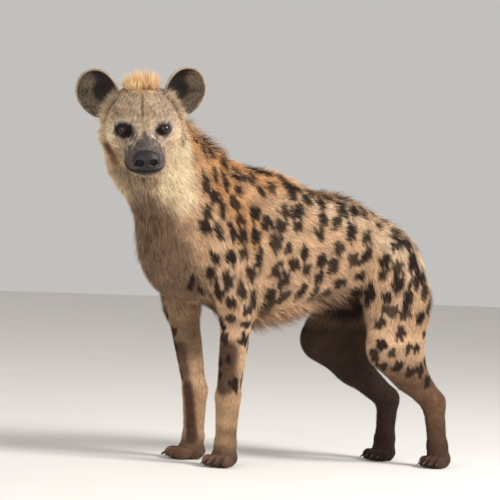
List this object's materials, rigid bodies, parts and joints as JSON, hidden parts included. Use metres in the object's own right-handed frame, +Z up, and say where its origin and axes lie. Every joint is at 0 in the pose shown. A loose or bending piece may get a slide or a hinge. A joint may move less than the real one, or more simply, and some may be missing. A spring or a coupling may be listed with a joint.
{
  "type": "spotted hyena",
  "caption": "Life-size still model of a standing spotted hyena, head turned to its left, with ear cups, lids, lips, nape crest and a tucked tail brush.",
  "frame": {"origin": "on the floor, at the middle of the whole animal's footprint box", "axes": "+X to the animal's left, -Y the way it faces, +Z up"},
  "size_m": [0.386, 1.1614, 1.0652],
  "materials": {
    "coat": "coarse buff fur with dark brown spots",
    "face_coat": "short grey-tan fur, darker on the muzzle",
    "ear_coat": "short fur, near black inside the cup, pale along the rim",
    "leg_coat": "short dark reddish-brown fur",
    "paw": "short dark fur over toes, with horn claws and leathery pads",
    "tail_brush": "long black hair",
    "nose_leather": "moist black pebbled skin",
    "eye": "glossy dark brown"
  },
  "bodies": {
    "root": {"head": "face_coat", "nose": "nose_leather", "left_ear": "ear_coat", "right_ear": "ear_coat", "left_eye": "eye", "right_eye": "eye", "neck": "coat", "torso": "coat", "abdomen": "coat", "rump": "coat", "tail": "tail_brush", "left_forearm": "coat", "right_forearm": "coat", "left_forefoot": "leg_coat", "right_forefoot": "leg_coat", "left_forepaw": "paw", "right_forepaw": "paw", "left_thigh": "coat", "right_thigh": "coat", "left_shank": "leg_coat", "right_shank": "leg_coat", "left_hindfoot": "leg_coat", "right_hindfoot": "leg_coat", "left_hindpaw": "paw", "right_hindpaw": "paw"}
  },
  "joints": []
}
